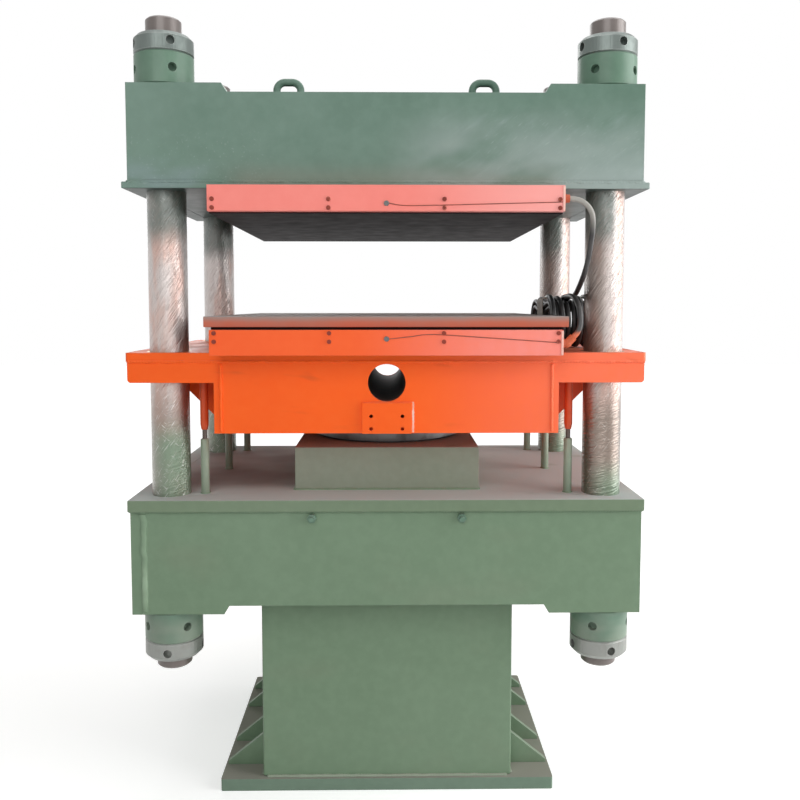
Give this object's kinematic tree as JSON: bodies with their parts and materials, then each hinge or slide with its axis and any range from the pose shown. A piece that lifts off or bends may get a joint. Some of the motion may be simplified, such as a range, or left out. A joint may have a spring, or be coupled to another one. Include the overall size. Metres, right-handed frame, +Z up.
{
  "type": "rubber vulcanizing press",
  "caption": "Upward-stroke hydraulic vulcanizing press: heated platens, a ram-driven crosshead guided on round columns, a box-beam head and a welded pedestal base.",
  "frame": {"origin": "centre of the foot plate's underside, on the floor", "axes": "+Z up along the ram's stroke, -Y towards the front where moulds go in, +X to the right seen from the front"},
  "size_m": [1.196, 0.848, 1.854],
  "materials": {
    "green_enamel": "satin green enamel with dust and scuffs",
    "orange_enamel": "satin orange enamel",
    "chromed_steel": "ground and hard-chromed",
    "steel": "machined steel",
    "bronze": "turned bronze",
    "insulation_board": "matt mineral board",
    "black_rubber": "matt rubber",
    "black_plastic": "moulded black plastic",
    "cloth_tape": "brown cloth tape"
  },
  "bodies": {
    "frame": {"foot_plate": "green_enamel", "foot_gussets": "green_enamel", "pedestal": "green_enamel", "base_beam": "green_enamel", "base_deck": "green_enamel", "base_studs": "steel", "column_front_left": "chromed_steel", "column_front_right": "chromed_steel", "column_rear_left": "chromed_steel", "column_rear_right": "chromed_steel", "column_nuts": "green_enamel", "lock_nuts": "steel", "top_beam": "green_enamel", "beam_flange": "green_enamel", "lifting_loops": "green_enamel", "cylinder_body": "green_enamel", "cylinder_block": "green_enamel", "ram_guide_ring": "bronze", "ram_seals": "black_rubber", "oil_inlet": "steel", "upper_insulation": "insulation_board", "upper_platen": "steel", "upper_heater_rods": "steel", "upper_front_cover": "orange_enamel", "upper_rear_cover": "orange_enamel", "upper_cover_screws": "steel", "upper_thermocouple": "steel", "upper_lead_gland": "black_plastic", "upper_platen_bolts": "steel", "stop_posts": "green_enamel", "upper_lead": "black_rubber"},
    "crosshead": {"ram": "chromed_steel", "ram_bolts": "steel", "crosshead_plate": "orange_enamel", "crosshead_front": "orange_enamel", "crosshead_rear": "orange_enamel", "crosshead_webs": "orange_enamel", "wing_ribs": "orange_enamel", "crosshead_floor": "orange_enamel", "cross_tube": "orange_enamel", "tapped_plate": "orange_enamel", "guide_sleeves": "orange_enamel", "guide_bushes": "bronze", "stop_stubs": "orange_enamel", "stop_screws": "steel", "lower_insulation": "insulation_board", "lower_platen": "steel", "mould_plate": "orange_enamel", "lower_heater_rods": "steel", "lower_front_cover": "orange_enamel", "lower_rear_cover": "orange_enamel", "lower_cover_screws": "steel", "lower_thermocouple": "steel", "lower_lead_gland": "black_plastic", "lower_platen_bolts": "steel", "upper_hank": "black_rubber", "lower_lead": "black_rubber", "lower_hank": "black_rubber", "hank_tape": "cloth_tape", "lead_lugs": "steel"}
  },
  "joints": [
    {"name": "crosshead_lift", "type": "slide", "parent": "frame", "child": "crosshead", "axis": [0, 0, 1], "range_m": [0, 0.2275], "deforming": ["upper_lead"]}
  ]
}
